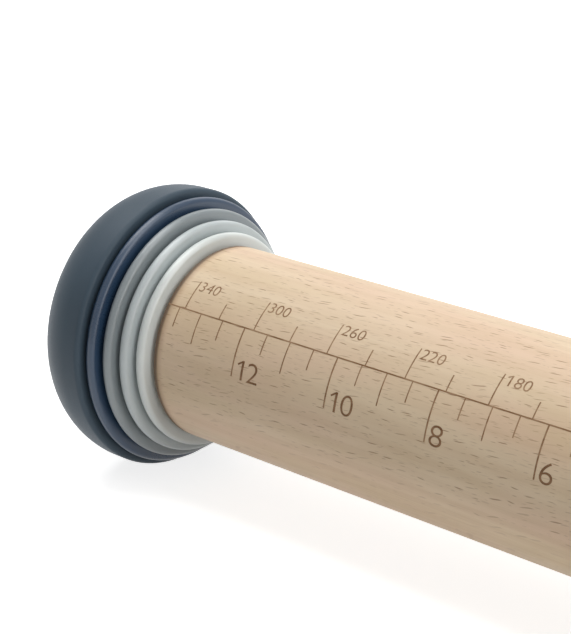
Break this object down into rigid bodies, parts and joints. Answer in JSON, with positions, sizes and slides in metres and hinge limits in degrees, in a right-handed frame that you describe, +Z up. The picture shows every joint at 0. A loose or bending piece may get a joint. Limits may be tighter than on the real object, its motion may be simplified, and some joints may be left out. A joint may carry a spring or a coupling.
{
  "type": "adjustable rolling pin",
  "caption": "Rolling pin with a plain wooden barrel, stacked thickness discs at both ends and screw-in end knobs that clamp them.",
  "frame": {"origin": "centre of the barrel, on the pin's axis", "axes": "+X along the pin towards the right end knob, +Z up as the pin lies on its end discs"},
  "size_m": [0.423, 0.0648, 0.0648],
  "materials": {
    "beech": "fine sanded, lightly oiled",
    "disc_1": "satin moulded",
    "disc_2": "satin moulded",
    "disc_3": "satin moulded",
    "disc_4": "satin moulded",
    "slate": "matte moulded",
    "cover": "matte moulded",
    "steel": "turned steel",
    "nylon": "natural nylon",
    "washer": "smooth rubber"
  },
  "bodies": {
    "barrel": {"barrel": "beech", "left_threaded_insert": "nylon", "right_threaded_insert": "nylon"},
    "left_disc_1": {"left_disc_1": "disc_1"},
    "left_disc_2": {"left_disc_2": "disc_2"},
    "left_disc_3": {"left_disc_3": "disc_3"},
    "left_disc_4": {"left_disc_4": "disc_4"},
    "left_end_disc": {"left_end_disc": "slate"},
    "left_washer": {"left_washer": "washer"},
    "left_knob": {"left_end_knob": "slate", "left_stud": "steel", "left_knob_cover": "cover"},
    "right_disc_1": {"right_disc_1": "disc_1"},
    "right_disc_2": {"right_disc_2": "disc_2"},
    "right_disc_3": {"right_disc_3": "disc_3"},
    "right_disc_4": {"right_disc_4": "disc_4"},
    "right_end_disc": {"right_end_disc": "slate"},
    "right_washer": {"right_washer": "washer"},
    "right_knob": {"right_end_knob": "slate", "right_stud": "steel", "right_knob_cover": "cover"}
  },
  "joints": [
    {"name": "left_disc_1_slide", "type": "slide", "parent": "barrel", "child": "left_disc_1", "axis": [-1, 0, 0], "range_m": [0, 0.024]},
    {"name": "left_disc_2_slide", "type": "slide", "parent": "left_disc_1", "child": "left_disc_2", "axis": [-1, 0, 0], "range_m": [0, 0.024]},
    {"name": "left_disc_3_slide", "type": "slide", "parent": "left_disc_2", "child": "left_disc_3", "axis": [-1, 0, 0], "range_m": [0, 0.024]},
    {"name": "left_disc_4_slide", "type": "slide", "parent": "left_disc_3", "child": "left_disc_4", "axis": [-1, 0, 0], "range_m": [0, 0.024]},
    {"name": "left_end_disc_slide", "type": "slide", "parent": "left_disc_4", "child": "left_end_disc", "axis": [-1, 0, 0], "range_m": [0, 0.024]},
    {"name": "left_knob_travel", "type": "slide", "parent": "left_end_disc", "child": "left_washer", "axis": [-1, 0, 0], "range_m": [0, 0.027]},
    {"name": "left_knob_turn", "type": "hinge", "parent": "left_washer", "child": "left_knob", "pos_m": [-0.2, 0, 0], "axis": [-1, 0, 0], "range_deg": [0, 1080]},
    {"name": "right_disc_1_slide", "type": "slide", "parent": "barrel", "child": "right_disc_1", "axis": [1, 0, 0], "range_m": [0, 0.024]},
    {"name": "right_disc_2_slide", "type": "slide", "parent": "right_disc_1", "child": "right_disc_2", "axis": [1, 0, 0], "range_m": [0, 0.024]},
    {"name": "right_disc_3_slide", "type": "slide", "parent": "right_disc_2", "child": "right_disc_3", "axis": [1, 0, 0], "range_m": [0, 0.024]},
    {"name": "right_disc_4_slide", "type": "slide", "parent": "right_disc_3", "child": "right_disc_4", "axis": [1, 0, 0], "range_m": [0, 0.024]},
    {"name": "right_end_disc_slide", "type": "slide", "parent": "right_disc_4", "child": "right_end_disc", "axis": [1, 0, 0], "range_m": [0, 0.024]},
    {"name": "right_knob_travel", "type": "slide", "parent": "right_end_disc", "child": "right_washer", "axis": [1, 0, 0], "range_m": [0, 0.027]},
    {"name": "right_knob_turn", "type": "hinge", "parent": "right_washer", "child": "right_knob", "pos_m": [0.2, 0, 0], "axis": [1, 0, 0], "range_deg": [0, 1080]}
  ],
  "couplings": [
    {"joint": "left_knob_travel", "follows": "left_knob_turn", "m_per_rad": 0.0014324},
    {"joint": "right_knob_travel", "follows": "right_knob_turn", "m_per_rad": 0.0014324}
  ]
}
